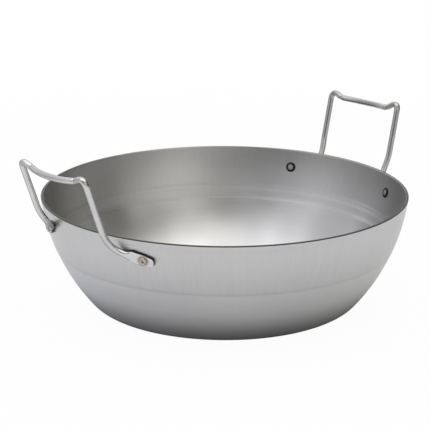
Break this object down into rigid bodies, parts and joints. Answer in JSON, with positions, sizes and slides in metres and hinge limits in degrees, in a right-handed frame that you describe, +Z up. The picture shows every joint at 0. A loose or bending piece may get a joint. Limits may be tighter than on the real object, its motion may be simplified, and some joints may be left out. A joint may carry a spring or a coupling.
{
  "type": "loop-handled wok",
  "caption": "Deep flat-based wok of raw steel sheet with flaring curved sides and bent wire loop handles riveted to the wall, for frying and stewing on a hob.",
  "frame": {"origin": "middle of the base's underside", "axes": "+Z up along the pan's axis, handles on -X (left) and +X (right), front is -Y"},
  "size_m": [0.4265, 0.36, 0.1759],
  "materials": {
    "sheet_steel": "raw steel sheet, finely brushed up and down the wall, satin",
    "wire_steel": "bright drawn wire, smooth, with flattened riveted ends",
    "rivet_steel": "plain steel rivet, brown heat tint around the clinched end"
  },
  "bodies": {
    "root": {"pan_body": "sheet_steel", "left_handle": "wire_steel", "right_handle": "wire_steel", "left_front_rivet": "rivet_steel", "left_back_rivet": "rivet_steel", "right_front_rivet": "rivet_steel", "right_back_rivet": "rivet_steel"}
  },
  "joints": []
}
